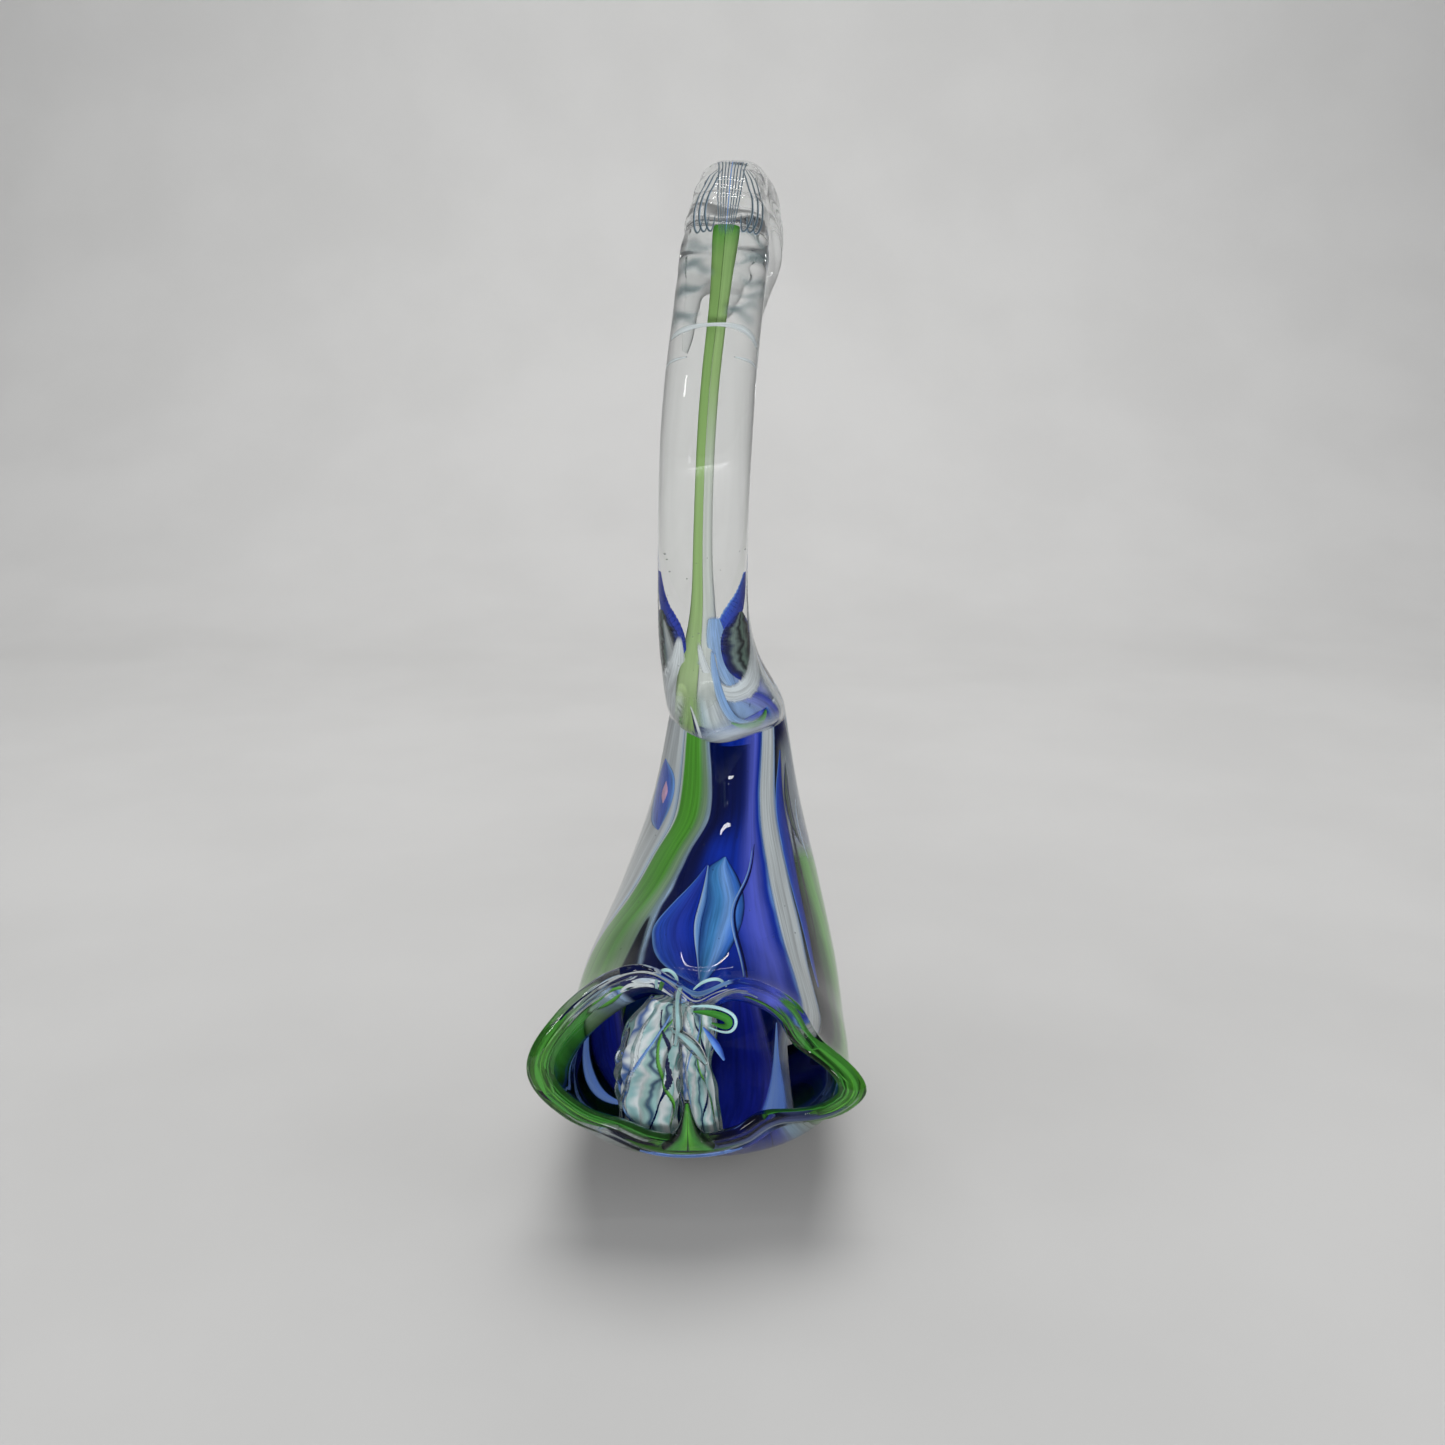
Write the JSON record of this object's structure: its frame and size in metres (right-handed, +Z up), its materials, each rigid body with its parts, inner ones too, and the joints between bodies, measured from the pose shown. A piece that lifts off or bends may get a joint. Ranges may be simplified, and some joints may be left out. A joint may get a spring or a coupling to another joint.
{
  "type": "art glass vase",
  "caption": "Hand blown swan-form vase of clear cased glass with coloured bands, an open crimped mouth, a solid curved neck and a head.",
  "frame": {"origin": "on the table, in the middle of the flat that the vase rests on", "axes": "+Z up, +Y the way the swan faces, with the open mouth facing -Y, +X to the right as seen from the mouth"},
  "size_m": [0.0819, 0.1301, 0.257],
  "materials": {
    "clear_glass": "fire polished, clear with a faint aqua tint and seed bubbles",
    "cobalt_blue_glass": "transparent cobalt blue under clear glass",
    "green_glass": "strong leaf green under clear glass",
    "white_glass": "milky white under clear glass",
    "pink_glass": "soft pink under clear glass"
  },
  "bodies": {
    "root": {"clear_casing": "clear_glass", "clear_liner": "clear_glass", "rim_lip": "clear_glass", "lower_lip_cusp": "green_glass", "left_pinch_fold": "clear_glass", "right_pinch_fold": "clear_glass", "blue_back_band": "cobalt_blue_glass", "blue_chest_band": "cobalt_blue_glass", "blue_spot": "cobalt_blue_glass", "white_right_band": "white_glass", "white_chest_right_band": "white_glass", "white_left_band": "white_glass", "green_right_band": "green_glass", "green_chest_left_band": "green_glass", "green_left_band": "green_glass", "pink_spot_core": "pink_glass", "neck_rod": "clear_glass", "white_thread": "white_glass", "green_thread": "green_glass", "head": "clear_glass", "beak": "clear_glass"}
  },
  "joints": []
}
